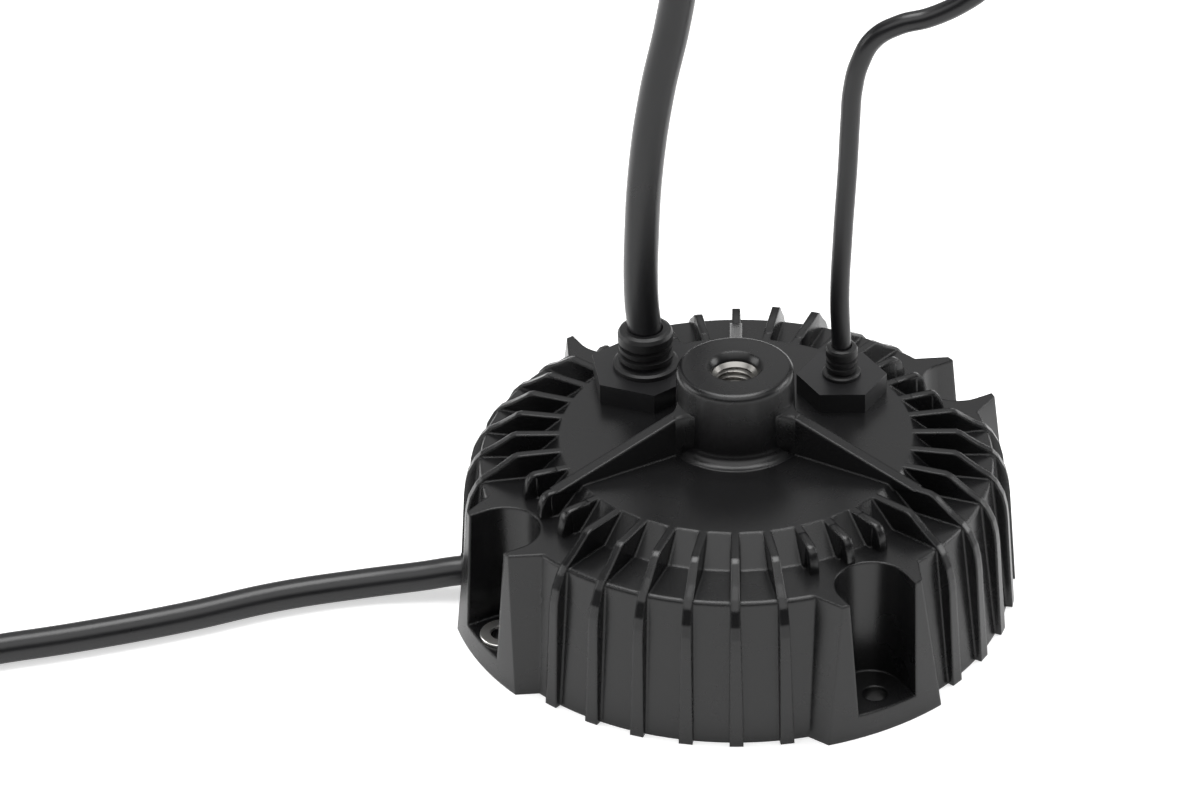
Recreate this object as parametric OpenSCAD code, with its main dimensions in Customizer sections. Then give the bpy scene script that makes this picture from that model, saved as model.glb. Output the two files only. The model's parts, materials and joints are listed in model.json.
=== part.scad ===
// Round die-cast LED driver with radial cooling fins, a threaded hanging boss,
// four mounting pockets, two cable glands on the roof and one lead out of the side.
// The origin is the centre of the base, +Z points up and the front is -Y.

/* [Housing] */
// Height of the rim above the base
rim_h = 35.5; // [30:0.5:45]
// Radius of the wall at the rim
rim_r = 60.5; // [58:0.5:64]
// Radius of the wall at the base
wall_foot_r = 65; // [64:0.5:66]
// Rounding of the rim edge
rim_round = 1; // [0.5:0.1:1.5]
// Radius of the flat roof
roof_r = 41.4; // [40:0.1:43]
// Height of the roof above the rim
roof_rise = 6; // [5:0.5:8]
// How far the slope below the roof runs outward
slope_run = 6.4; // [5:0.1:7]
// Thickness of the cast walls
wall_t = 3; // [2:0.1:3.5]

/* [Cooling fins] */
// Number of fin places round the housing
fin_count = 36; // [24:12:48]
// Width of a fin at the base
fin_foot_w = 3.2; // [2.4:0.1:3.6]
// Width of a fin at the roof
fin_top_w = 1.9; // [1.4:0.1:2.2]
// Radius at which the top of a fin starts to fall
fin_flat_r = 51.5; // [50:0.5:53]
// Radius of a fin at its shoulder
fin_shoulder_r = 64.6; // [64:0.1:65]
// Height of the shoulder
fin_shoulder_h = 25; // [22:0.5:28]
// Radius of a fin at the base
fin_foot_r = 66.5; // [66:0.1:68]
// Radius at which a short fin beside a pocket ends
short_fin_r = 49.5; // [49:0.5:51]

/* [Hanging boss] */
// Radius of the boss at its top
boss_r = 13.6; // [13:0.1:14]
// Height of the boss above the roof
boss_h = 16; // [15:0.1:20]
// Taper of the boss from roof to top
boss_taper = 0.3; // [0.2:0.1:0.5]
// Rounding of the top edge
boss_round = 1.7; // [1:0.1:2.5]
// Radius of the mouth over the insert
mouth_r = 6.3; // [5.8:0.1:6.6]
// Radius at which the mouth meets the insert
mouth_low_r = 5.4; // [5.1:0.1:5.6]
// Depth of the mouth
mouth_h = 1.6; // [1:0.1:3]
// Outer radius of the steel insert
insert_r = 7; // [6.5:0.1:8]
// Length of the steel insert
insert_h = 14; // [10:0.5:16]
// Radius of the thread's crests
thread_r = 4.25; // [4:0.05:4.5]
// Width of an arm
arm_w = 3; // [2:0.1:4]
// Height of an arm above the roof where it leaves the boss
arm_root_h = 10.7; // [8:0.1:12]
// Radius at which an arm has come down to the roof's level
arm_end_r = 48.5; // [44:0.5:49.5]

/* [Mounting pockets] */
// Radius of the circle of the mounting holes
screw_ring_r = 63; // [62.5:0.1:63.5]
// Radius of the circle of the pockets' centres
pocket_ring_r = 61.5; // [61:0.1:62]
// Radius of a pocket at the rim
pocket_top_r = 8.6; // [8:0.1:9]
// Radius of a pocket at its floor
pocket_floor_r = 7.6; // [7:0.1:8]
// Thickness of a pocket floor
pocket_floor_t = 5.9; // [4:0.1:8]
// Wall of a pocket inside the housing
pocket_wall = 2.4; // [2:0.1:3]
// Diameter of a mounting screw hole
screw_hole_d = 5.5; // [4.5:0.1:6.5]
// Radius of the ears at the rim
ear_top_r = 66.4; // [66:0.1:68]
// Radius of the ears at the base
ear_foot_r = 69.3; // [68:0.1:71]
// Half width of the ears at the rim
ear_top_w = 12.3; // [12:0.1:13]
// Half width of the ears at the base
ear_foot_w = 17.9; // [16:0.1:18.5]
// Angle of an ear's side seen from above
ear_side_a = 25; // [20:1:30]

/* [Cable glands] */
// Radius of the circle that the glands stand on
gland_ring_r = 30.5; // [30:0.1:31]
// Direction of the mains gland
mains_a = 134.5; // [134:0.5:135]
// Direction of the dimming gland
dimming_a = 34.5; // [34:0.5:35]
// Height of the hexagon collars
collar_h = 5; // [4:0.5:7]
// Corner radius of the mains collar
mains_collar_r = 13.9; // [13:0.1:14.2]
// Corner radius of the dimming collar
dimming_collar_r = 10.7; // [10:0.1:11]
// Diameter of the mains lead
mains_d = 8.2; // [7.5:0.1:8.5]
// Diameter of the dimming lead
dimming_d = 4.6; // [4:0.1:5]
// Diameter of the output lead
output_d = 7.2; // [6.5:0.1:7.4]
// Height of the mains boot above its collar
mains_boot_h = 10.5; // [9:0.1:12]
// Height of the dimming boot above its collar
dimming_boot_h = 8; // [7:0.1:9]
// Radius of the mains boot at its rings
mains_boot_r = 6.6; // [6.4:0.1:7]
// Radius of the dimming boot at its rings
dimming_boot_r = 3.8; // [3.6:0.1:4.2]
// Height of the output lead above the base
output_h = 6.2; // [6:0.1:7]
// Direction in which the output lead leaves
output_a = 185; // [184.5:0.1:185.5]

/* [Base] */
// Radius of the base plate
plate_r = 59.2; // [59:0.1:59.5]
// Thickness of the base plate
plate_t = 1.2; // [1:0.1:1.3]
// Thickness of the gasket
gasket_t = 0.5; // [0.3:0.1:0.5]
// Number of base screws
base_screw_count = 8; // [8:8:8]
// Diameter of a base screw
base_screw_d = 3; // [2.5:0.1:3.2]
// Length of a base screw
base_screw_l = 8; // [6:0.5:9]

/* [Electronics] */
// Radius of the circuit board
board_r = 49; // [48:0.5:49.5]
// Thickness of the circuit board
board_t = 1.6; // [1:0.1:2]
// Height of the circuit board's lower face
board_h = 4; // [3.5:0.1:5]
// Width of the transformer
transformer_w = 30; // [26:1:32]
// Depth of the transformer
transformer_d = 26; // [22:1:28]
// Height of the transformer
transformer_h = 22; // [16:1:23]
// Width of the power factor choke
choke_w = 24; // [20:1:25]
// Height of the power factor choke
choke_h = 18; // [14:1:20]
// Outer radius of the input choke's ring core
ring_core_r = 8; // [6:0.5:8.5]
// Radius of a bulk capacitor
bulk_cap_r = 6.2; // [5:0.1:6.5]
// Height of a bulk capacitor
bulk_cap_h = 22; // [16:1:23]
// Radius of an output capacitor
output_cap_r = 5; // [4:0.1:5.2]
// Height of an output capacitor
output_cap_h = 20; // [14:1:23]

/* [Hidden] */
$fn = 64;

// Overrun of every cut past the face that it opens
over = 0.5;
// Running clearance round a part that is put in from outside
fit_gap = 0.15;
// How deep added metal reaches into the casting that carries it
bite = 1.5;
// Facets of the rounded edges in an outline
round_steps = 4;
half_turn = 180;
quarter_turn = 90;
full_turn = 360;

roof_h = rim_h + roof_rise;
slope_foot_r = roof_r + slope_run;
boss_top = roof_h + boss_h;
collar_top = roof_h + collar_h;
inner_r = plate_r - 2 * fit_gap - bite;
ledge_h = plate_t + gasket_t;
ceiling_h = roof_h - wall_t;
ring_ceiling_h = rim_h - wall_t;
board_top = board_h + board_t;

pocket_count = 4;
pocket_first_a = 30;
pocket_angles = [for (i = [0:pocket_count - 1]) pocket_first_a + i * full_turn / pocket_count];
pad_span_a = 14;
arm_count = 3;
arm_first_a = 90;
arm_angles = [for (i = [0:arm_count - 1]) arm_first_a + i * full_turn / arm_count];
between_angles = [for (a = pocket_angles) a + full_turn / pocket_count / 2];

// Angle from a direction to the nearest pocket
function pocket_gap(a) = min([for (p = pocket_angles) abs((a - p + full_turn + half_turn) % full_turn - half_turn)]);
// Points of an arc in an outline
function arc_points(cx, cy, r, from, to, steps) =
    [for (i = [0:steps]) [cx + r * cos(from + (to - from) * i / steps), cy + r * sin(from + (to - from) * i / steps)]];

// Fall of a fin from its flat top to its shoulder, as shares outward and upward
fall_shares = [[0, 1], [0.1, 0.97], [0.24, 0.885], [0.42, 0.782], [0.66, 0.667], [0.78, 0.56], [0.91, 0.364], [0.97, 0.18], [1, 0]];
fall_r = fin_shoulder_r - fin_flat_r;
fall_h = roof_h - fin_shoulder_h;
function fall_points() = [for (p = fall_shares) [fin_flat_r + fall_r * p[0], fin_shoulder_h + fall_h * p[1]]];

module at_polar(r, a, z = 0) {
    rotate([0, 0, a]) translate([r, 0, z]) children();
}

// A bar that lies along +X from the axis outward, with an upright trapezium as its section
module tapered_bar(length, foot_w, top_w, low, high) {
    rotate([quarter_turn, 0, quarter_turn]) linear_extrude(length)
        polygon([[-foot_w / 2, low], [foot_w / 2, low], [top_w / 2, high], [-top_w / 2, high]]);
}

// Housing
module outer_form() {
    rotate_extrude() polygon(concat(
        [[0, 0], [wall_foot_r, 0]],
        arc_points(rim_r - rim_round, rim_h - rim_round, rim_round, 0, quarter_turn, round_steps),
        [[slope_foot_r, rim_h], [roof_r, roof_h], [0, roof_h]]));
}

module inner_form() {
    rotate_extrude() polygon([[0, ledge_h], [inner_r, ledge_h], [inner_r, ring_ceiling_h],
        [slope_foot_r - wall_t / 2, ring_ceiling_h], [roof_r - wall_t / 2, ceiling_h], [0, ceiling_h]]);
}

module pocket_pillars(extra = 0) {
    for (a = pocket_angles)
        at_polar(pocket_ring_r, a, -over) cylinder(r = pocket_top_r + pocket_wall + extra, h = rim_h + over);
}

base_post_r = base_screw_d;
base_post_ring_r = inner_r - base_post_r + fit_gap;
base_post_share = 0.17;
base_post_angles = [for (a = between_angles, s = [-1, 1]) a + s * base_post_share * full_turn / pocket_count];
board_post_r = 3;
board_post_ring_r = board_r - board_post_r - fit_gap;

module inner_posts() {
    for (a = base_post_angles)
        at_polar(base_post_ring_r, a, ledge_h) cylinder(r = base_post_r, h = ring_ceiling_h - ledge_h + over);
    for (a = between_angles)
        at_polar(board_post_ring_r, a, board_top) cylinder(r = board_post_r, h = ceiling_h - board_top);
}

boss_root_h = mouth_h + insert_h - boss_h + wall_t;
module boss_root() {
    translate([0, 0, roof_h - boss_root_h]) cylinder(r = insert_r + wall_t, h = boss_root_h - over);
}

module cavity() {
    difference() {
        inner_form();
        pocket_pillars();
        inner_posts();
        boss_root();
    }
}

module plate_recess() {
    difference() {
        translate([0, 0, -over]) cylinder(r = plate_r + fit_gap, h = ledge_h + over);
        pocket_pillars();
    }
}

// One full fin along +X: over the roof's slope, down the ring and on as a rib of the wall
module full_fin() {
    intersection() {
        rotate([quarter_turn, 0, 0]) linear_extrude(fin_foot_w, center = true) polygon(concat(
            [[roof_r - bite, rim_h - bite], [roof_r, roof_h]],
            fall_points(),
            [[fin_foot_r, 0], [wall_foot_r - bite, 0], [rim_r - bite, rim_h - bite]]));
        tapered_bar(fin_foot_r + over, fin_foot_w, fin_top_w, 0, roof_h);
    }
}

// One short fin along +X, which stops at the pad round a pocket
module short_fin() {
    translate([roof_r - bite, 0, 0]) tapered_bar(short_fin_r - roof_r + bite, fin_foot_w, fin_top_w, rim_h - bite, roof_h);
}

module fins() {
    for (i = [0:fin_count - 1]) {
        a = i * full_turn / fin_count;
        rotate([0, 0, a]) if (pocket_gap(a) < pad_span_a) short_fin(); else full_fin();
    }
}

module arm_bar() {
    rotate([quarter_turn, 0, 0]) linear_extrude(arm_w, center = true) polygon([
        [0, roof_h - bite], [0, roof_h + arm_root_h], [boss_r, roof_h + arm_root_h],
        [arm_end_r, roof_h], [roof_r, roof_h - bite]]);
}

module boss() {
    translate([0, 0, roof_h - bite]) rotate_extrude() polygon(concat(
        [[0, 0], [boss_r + boss_taper, 0], [boss_r + boss_taper, bite]],
        arc_points(boss_r - boss_round, boss_h + bite - boss_round, boss_round, 0, quarter_turn, round_steps),
        [[0, boss_h + bite]]));
}

boss_fillet = 2;
module boss_fillet_ring() {
    translate([0, 0, roof_h]) rotate_extrude() polygon(concat([[boss_r - bite, -bite], [boss_r - bite, boss_fillet]],
        arc_points(boss_r + boss_taper + boss_fillet, boss_fillet, boss_fillet, half_turn, half_turn + quarter_turn, round_steps),
        [[boss_r + boss_taper + boss_fillet, -bite]]));
}

// The drafted block that holds one pocket, along +X
module ear_block() {
    ear_draft_a = atan((ear_foot_w - ear_top_w) * cos(ear_side_a) / rim_h);
    difference() {
        intersection() {
            cylinder(r1 = ear_foot_r, r2 = ear_top_r, h = rim_h);
            translate([pocket_ring_r - 2 * pocket_top_r, -ear_foot_w, 0]) cube([4 * pocket_top_r, 2 * ear_foot_w, rim_h]);
        }
        for (s = [0, 1]) mirror([0, s, 0])
            translate([pocket_ring_r, ear_foot_w, 0]) rotate([ear_draft_a, 0, -ear_side_a])
                translate([-2 * ear_foot_w, 0, -rim_h]) cube([4 * ear_foot_w, ear_foot_w, 3 * rim_h]);
    }
}

// The pocket's hollow, along +X: a drafted round back and a slot that opens outward
module pocket_cut() {
    cut_h = rim_h - pocket_floor_t;
    translate([pocket_ring_r, 0, pocket_floor_t])
        cylinder(r1 = pocket_floor_r, r2 = pocket_top_r, h = cut_h);
    translate([pocket_ring_r, 0, 0])
        tapered_bar(ear_foot_r, 2 * pocket_floor_r, 2 * pocket_top_r, pocket_floor_t, rim_h);
    translate([pocket_ring_r, 0, rim_h - over]) cylinder(r = pocket_top_r, h = roof_rise + over);
    translate([pocket_ring_r, -pocket_top_r, rim_h - over]) cube([ear_foot_r, 2 * pocket_top_r, roof_rise + over]);
    translate([screw_ring_r, 0, -over]) cylinder(d = screw_hole_d, h = pocket_floor_t + 2 * over);
}

gland_hole_share = 0.6;
mains_shank_r = mains_collar_r * gland_hole_share;
dimming_shank_r = dimming_collar_r * gland_hole_share;
bush_wall = 0.5;
bush_r = output_d / 2 + bush_wall;
dimple_r = 0.7;
dimple_a = 58;

module insert_seat() {
    translate([0, 0, boss_top - mouth_h - insert_h]) cylinder(r = insert_r, h = insert_h);
    translate([0, 0, boss_top - mouth_h]) cylinder(r1 = mouth_low_r, r2 = mouth_r, h = mouth_h);
    translate([0, 0, boss_top - over]) cylinder(r = mouth_r, h = 2 * over);
}

module gland_holes() {
    at_polar(gland_ring_r, mains_a, ceiling_h - over) cylinder(r = mains_shank_r + fit_gap, h = wall_t + 2 * over);
    at_polar(gland_ring_r, dimming_a, ceiling_h - over) cylinder(r = dimming_shank_r + fit_gap, h = wall_t + 2 * over);
}

module output_hole() {
    at_polar(inner_r - bite, output_a, output_h) rotate([0, quarter_turn, 0])
        cylinder(r = bush_r, h = ear_foot_r - inner_r + bite);
}

module base_screw_holes() {
    for (a = base_post_angles)
        at_polar(base_post_ring_r, a, ledge_h) cylinder(d = base_screw_d, h = base_screw_l - plate_t + over);
    for (a = between_angles)
        at_polar(board_post_ring_r, a, board_top) cylinder(d = board_screw_d, h = board_screw_l + over);
}

module housing() {
    color("#2b2c2e") difference() {
        union() {
            difference() {
                union() {
                    outer_form();
                    for (a = pocket_angles) rotate([0, 0, a]) ear_block();
                }
                cavity();
                plate_recess();
            }
            fins();
            boss();
            boss_fillet_ring();
            for (a = arm_angles) rotate([0, 0, a]) arm_bar();
        }
        for (a = pocket_angles) rotate([0, 0, a]) pocket_cut();
        insert_seat();
        gland_holes();
        output_hole();
        base_screw_holes();
        at_polar(boss_r - 2 * boss_round - dimple_r / 2, dimple_a, boss_top - dimple_r / 2) cylinder(r = dimple_r, h = over + dimple_r);
    }
}

insert_chamfer = 0.8;
module thread_insert() {
    color("silver") translate([0, 0, boss_top - mouth_h - insert_h]) difference() {
        cylinder(r = insert_r, h = insert_h);
        translate([0, 0, -over]) cylinder(r = thread_r, h = insert_h + 2 * over);
        translate([0, 0, insert_h - insert_chamfer]) cylinder(r1 = thread_r, r2 = thread_r + insert_chamfer, h = insert_chamfer);
    }
}

// Base
module base_plate() {
    color("#8b8e90") difference() {
        cylinder(r = plate_r, h = plate_t);
        pocket_pillars(fit_gap);
        for (a = base_post_angles)
            at_polar(base_post_ring_r, a, -over) cylinder(r = base_screw_d / 2 + fit_gap, h = plate_t + 2 * over);
        for (a = base_post_angles)
            at_polar(base_post_ring_r, a, 0) cylinder(r1 = base_head_r + fit_gap, r2 = base_screw_d / 2 + fit_gap, h = base_head_h);
    }
}

module base_gasket() {
    color("#202020") translate([0, 0, plate_t]) difference() {
        cylinder(r = plate_r, h = gasket_t);
        translate([0, 0, -over]) cylinder(r = inner_r + fit_gap, h = gasket_t + 2 * over);
        translate([0, 0, -plate_t]) pocket_pillars(fit_gap);
    }
}

base_head_r = base_screw_d - fit_gap;
base_head_h = plate_t - fit_gap;
board_screw_d = 2.5;
board_screw_l = 7;
board_head_r = 2.4;
board_head_h = 1.2;

module base_screws() {
    color("silver") for (a = base_post_angles) at_polar(base_post_ring_r, a) {
        cylinder(r1 = base_head_r, r2 = base_screw_d / 2, h = base_head_h);
        cylinder(d = base_screw_d, h = base_screw_l);
    }
}

// Glands
module hex_collar(r, shank_r, bore_r, turn) {
    difference() {
        union() {
            rotate([0, 0, turn]) cylinder(r = r, h = collar_h, $fn = 6);
            translate([0, 0, -wall_t - locknut_h]) cylinder(r = shank_r, h = wall_t + locknut_h + over);
        }
        translate([0, 0, -wall_t - locknut_h - over]) cylinder(r = bore_r, h = collar_h + wall_t + locknut_h + 2 * over);
    }
}

locknut_h = 3.5;
module locknut(r, shank_r) {
    translate([0, 0, ceiling_h - locknut_h]) difference() {
        cylinder(r = r, h = locknut_h, $fn = 6);
        translate([0, 0, -over]) cylinder(r = shank_r, h = locknut_h + 2 * over);
    }
}

boot_wall = 1.2;
mains_collar_turn = 39;
dimming_collar_turn = 0;
mains_bore_r = mains_d / 2 + boot_wall;
dimming_bore_r = dimming_d / 2 + boot_wall;

module mains_gland() {
    color("#2b2c2e") at_polar(gland_ring_r, mains_a, roof_h)
        rotate([0, 0, -mains_a]) hex_collar(mains_collar_r, mains_shank_r, mains_bore_r, mains_collar_turn);
}

module dimming_gland() {
    color("#2b2c2e") at_polar(gland_ring_r, dimming_a, roof_h)
        rotate([0, 0, -dimming_a]) hex_collar(dimming_collar_r, dimming_shank_r, dimming_bore_r, dimming_collar_turn);
}

module mains_locknut() {
    color("#b0b0b0") at_polar(gland_ring_r, mains_a) rotate([0, 0, -mains_a])
        locknut(mains_collar_r - boot_wall, mains_shank_r);
}

module dimming_locknut() {
    color("#b0b0b0") at_polar(gland_ring_r, dimming_a) rotate([0, 0, -dimming_a])
        locknut(dimming_collar_r - boot_wall, dimming_shank_r);
}

// Heights and radii of a boot's outline, as shares of its height and of its ring radius
boot_outline_shares = [[0, 1.2], [0.1, 1.2], [0.14, 1.1], [0.17, 0.84], [0.23, 0.84], [0.26, 1], [0.36, 1], [0.39, 0.84],
    [0.45, 0.84], [0.48, 0.97], [0.57, 0.97], [0.6, 0.84], [0.65, 0.84], [0.69, 1], [0.88, 1], [0.96, 0.93], [1, 0.8]];

module boot(r, h, lead_d) {
    bore_r = lead_d / 2 + fit_gap;
    translate([0, 0, collar_top]) rotate_extrude() polygon(concat(
        [[bore_r, -collar_h - wall_t], [bore_r + boot_wall - fit_gap, -collar_h - wall_t], [bore_r + boot_wall - fit_gap, 0]],
        [for (p = boot_outline_shares) [p[1] * r, p[0] * h]],
        [[bore_r, h]]));
}

module mains_boot() {
    color("#161616") at_polar(gland_ring_r, mains_a) boot(mains_boot_r, mains_boot_h, mains_d);
}

module dimming_boot() {
    color("#161616") at_polar(gland_ring_r, dimming_a) boot(dimming_boot_r, dimming_boot_h, dimming_d);
}

bush_nose = 1;
module output_bush() {
    color("#161616") at_polar(inner_r - bite, output_a, output_h) rotate([0, quarter_turn, 0]) difference() {
        cylinder(r = bush_r, h = wall_foot_r + bush_nose - inner_r + bite);
        translate([0, 0, -over]) cylinder(d = output_d + 2 * fit_gap, h = ear_foot_r);
    }
}

// Electronics
module circuit_board() {
    color("#2f6b45") translate([0, 0, board_h]) difference() {
        cylinder(r = board_r, h = board_t);
        for (a = pocket_angles)
            at_polar(pocket_ring_r, a, -over) cylinder(r = pocket_top_r + pocket_wall + 2 * fit_gap, h = board_t + 2 * over);
        for (a = between_angles)
            at_polar(board_post_ring_r, a, -over) cylinder(d = board_screw_d + fit_gap, h = board_t + 2 * over);
    }
}

module board_screws() {
    color("silver") for (a = between_angles) at_polar(board_post_ring_r, a) {
        translate([0, 0, board_h]) cylinder(d = board_screw_d, h = board_screw_l);
        translate([0, 0, board_h - board_head_h]) cylinder(r = board_head_r, h = board_head_h);
    }
}

sheet_t = 0.4;
module insulating_sheet() {
    color("#d8d4c0") translate([0, 0, plate_t + fit_gap]) difference() {
        cylinder(r = board_r, h = sheet_t);
        translate([0, 0, -rim_h / 2]) for (a = pocket_angles)
            at_polar(pocket_ring_r, a) cylinder(r = pocket_top_r + pocket_wall + 2 * fit_gap, h = rim_h);
    }
}

// The transformer stands in the middle of the board, below the boss
core_leg_share = 0.3;
core_bar_share = 0.2;
flange_t = 1;
core_bar_h = transformer_h * core_bar_share;
core_leg_r = transformer_w * core_leg_share / 2;
core_end_w = transformer_w * core_bar_share / 2;
window_h = transformer_h - 2 * core_bar_h;

module e_core(w, d, h, bar, leg_r, end_w) {
    translate([-w / 2, -d / 2, 0]) cube([w, d, bar]);
    translate([-w / 2, -d / 2, h - bar]) cube([w, d, bar]);
    for (x = [-w / 2, w / 2 - end_w]) translate([x, -d / 2, 0]) cube([end_w, d, h]);
    cylinder(r = leg_r, h = h);
}

transformer_x = 0;
transformer_y = -14;
module transformer_core() {
    color("#4a4a4d") translate([transformer_x, transformer_y, board_top + flange_t])
        e_core(transformer_w, transformer_d * (1 - core_leg_share), transformer_h - flange_t, core_bar_h, core_leg_r, core_end_w);
}

bobbin_r = transformer_w / 2 - core_end_w - fit_gap;
bobbin_low = board_top + flange_t + core_bar_h;
bobbin_h = window_h - flange_t;
module transformer_bobbin() {
    color("#1d1d1f") translate([transformer_x, transformer_y, bobbin_low]) difference() {
        union() {
            cylinder(r = core_leg_r + fit_gap + flange_t, h = bobbin_h);
            cylinder(r = bobbin_r, h = flange_t);
            translate([0, 0, bobbin_h - flange_t]) cylinder(r = bobbin_r, h = flange_t);
        }
        translate([0, 0, -over]) cylinder(r = core_leg_r + fit_gap, h = bobbin_h + 2 * over);
    }
    color("#1d1d1f") translate([transformer_x, transformer_y, board_top])
        translate([-transformer_w / 2, -transformer_d / 2, 0]) cube([transformer_w, transformer_d, flange_t]);
}

module transformer_winding() {
    color("#d9b23a") translate([transformer_x, transformer_y, bobbin_low + flange_t]) difference() {
        cylinder(r = bobbin_r - flange_t / 2, h = bobbin_h - 2 * flange_t);
        translate([0, 0, -over]) cylinder(r = core_leg_r + fit_gap + flange_t, h = bobbin_h);
    }
}

// The power factor choke is a smaller core of the same form
choke_x = -26;
choke_y = 9;
choke_bar = choke_h * core_bar_share;
choke_leg_r = choke_w * core_leg_share / 2;
choke_end_w = choke_w * core_bar_share / 2;
module choke_core() {
    color("#4a4a4d") translate([choke_x, choke_y, board_top])
        e_core(choke_w, choke_w * (1 - core_leg_share), choke_h, choke_bar, choke_leg_r, choke_end_w);
}

module choke_winding() {
    color("#b5622a") translate([choke_x, choke_y, board_top + choke_bar]) difference() {
        cylinder(r = choke_w / 2 - choke_end_w - fit_gap, h = choke_h - 2 * choke_bar);
        translate([0, 0, -over]) cylinder(r = choke_leg_r + fit_gap, h = choke_h);
    }
}

// The input choke is a ring core that stands on edge, with a winding on each side
ring_core_w = 6;
ring_x = -8;
ring_y = 30;
ring_hole_share = 0.45;
winding_t = 1.2;
ring_h = board_top + ring_core_r + winding_t;
module input_choke_core() {
    color("#3f5c40") translate([ring_x, ring_y, ring_h]) rotate([quarter_turn, 0, 0]) difference() {
        cylinder(r = ring_core_r, h = ring_core_w, center = true);
        cylinder(r = ring_core_r * ring_hole_share, h = ring_core_w + 2 * over, center = true);
    }
}

winding_span_a = 110;
module input_choke_winding() {
    color("#b5622a") translate([ring_x, ring_y, ring_h]) rotate([quarter_turn, 0, 0]) for (a = [0, half_turn])
        rotate([0, 0, a - winding_span_a / 2]) rotate_extrude(angle = winding_span_a) difference() {
            translate([ring_core_r * ring_hole_share - winding_t, -ring_core_w / 2 - winding_t])
                square([ring_core_r * (1 - ring_hole_share) + 2 * winding_t, ring_core_w + 2 * winding_t]);
            translate([ring_core_r * ring_hole_share, -ring_core_w / 2])
                square([ring_core_r * (1 - ring_hole_share), ring_core_w]);
        }
}

bulk_cap_gap = 0.8;
bulk_cap_x = 26;
bulk_cap_y = 6;
module bulk_capacitors() {
    color("#27305c") for (i = [0, 1])
        translate([bulk_cap_x, bulk_cap_y + i * (2 * bulk_cap_r + bulk_cap_gap), board_top]) capacitor_can(bulk_cap_r, bulk_cap_h);
}

can_groove_share = 0.12;
module capacitor_can(r, h) {
    difference() {
        cylinder(r = r, h = h);
        translate([0, 0, h * can_groove_share]) rotate_extrude()
            translate([r + can_groove_share * r / 2, 0]) circle(r = can_groove_share * r);
    }
}

output_cap_x = 12;
output_cap_y = -37;
module output_capacitors() {
    color("#1c1c1c") for (i = [-1, 0, 1])
        translate([i * (2 * output_cap_r + bulk_cap_gap) - output_cap_x, output_cap_y, board_top])
            capacitor_can(output_cap_r, output_cap_h);
}

film_w = 14;
film_d = 7;
film_h = 12;
film_x = 10;
film_y = 33;
module film_capacitor() {
    color("#c9a227") translate([film_x - film_w / 2, film_y - film_d / 2, board_top]) cube([film_w, film_d, film_h]);
}

disc_r = 4;
disc_t = 3;
disc_x = 8;
disc_y = 12;
disc_step = 7;
module disc_capacitors() {
    color("#3a78b5") for (i = [0, 1])
        translate([disc_x - i * disc_step, disc_y, board_top + disc_r]) rotate([0, quarter_turn, 0])
            cylinder(r = disc_r, h = disc_t, center = true);
}

fuse_r = 2.6;
fuse_l = 9;
fuse_x = -24;
fuse_y = 27;
module fuse() {
    color("#d9d9d9") translate([fuse_x, fuse_y, board_top + fuse_r]) rotate([0, quarter_turn, 0])
        cylinder(r = fuse_r, h = fuse_l, center = true);
}

varistor_r = 5;
varistor_t = 4;
varistor_x = -8;
varistor_y = 14;
module varistor() {
    color("#2f58a0") translate([varistor_x, varistor_y, board_top + varistor_r]) rotate([0, quarter_turn, 0])
        cylinder(r = varistor_r, h = varistor_t, center = true);
}

bridge_w = 15;
bridge_t = 3.5;
bridge_h = 13;
bridge_x = -32;
bridge_y = -14;
module bridge_rectifier() {
    color("#1a1a1a") translate([bridge_x - bridge_t / 2, bridge_y - bridge_w / 2, board_top]) cube([bridge_t, bridge_w, bridge_h]);
}

transistor_w = 10;
transistor_t = 4.4;
transistor_h = 15;
transistor_step = 12;
transistor_y = -12;
heat_bar_x = 32;
heat_bar_t = 4;
heat_bar_l = 34;
heat_bar_h = 20;
module power_transistors() {
    color("#1a1a1a") for (i = [-1, 0, 1])
        translate([heat_bar_x - transistor_t, transistor_y + i * transistor_step - transistor_w / 2, board_top])
            cube([transistor_t, transistor_w, transistor_h]);
}

module heat_bar() {
    color("#a8abad") translate([heat_bar_x, transistor_y - heat_bar_l / 2, board_top]) cube([heat_bar_t, heat_bar_l, heat_bar_h]);
}

control_w = 20;
control_t = 1.2;
control_h = 14;
control_x = -15;
control_y = -33;
chip_w = 6;
chip_d = 5;
chip_t = 1.5;
module control_board() {
    color("#2f6b45") translate([control_x - control_w, control_y + output_cap_r, board_top]) cube([control_w, control_t, control_h]);
}

module control_chips() {
    color("#111111") for (i = [0, 1])
        translate([control_x - control_w + chip_t + i * (chip_w + chip_d / 2), control_y + output_cap_r + control_t, board_top + chip_d])
            cube([chip_w, chip_t, chip_d]);
}

// Wires from the leads to the board, inside the housing
core_spread_share = 0.26;
core_d_share = 0.3;

module wire_group(lead_d, count, length) {
    for (i = [0:count - 1])
        at_polar(lead_d * core_spread_share, i * full_turn / count) cylinder(d = lead_d * core_d_share, h = length);
}

lead_start_h = ceiling_h;
module mains_inner_wires() {
    color("#7a4a2a") at_polar(gland_ring_r, mains_a, board_top) wire_group(mains_d, 3, lead_start_h - board_top);
}

module dimming_inner_wires() {
    color("#8a4a8a") at_polar(gland_ring_r, dimming_a, board_top) wire_group(dimming_d, 2, lead_start_h - board_top);
}

output_start_r = inner_r - bite;
output_wire_l = output_start_r - board_r + output_d;
module output_inner_wires() {
    color("#a02020") at_polar(output_start_r, output_a, output_h + output_d / 4) rotate([0, -quarter_turn, 0])
        wire_group(output_d * core_d_share * 2, 2, output_wire_l);
}

// Leads
function unit(v) = v / norm(v);
function route_dir(route, i) = unit(route[min(i + 1, len(route) - 1)] - route[max(i - 1, 0)]);
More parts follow.
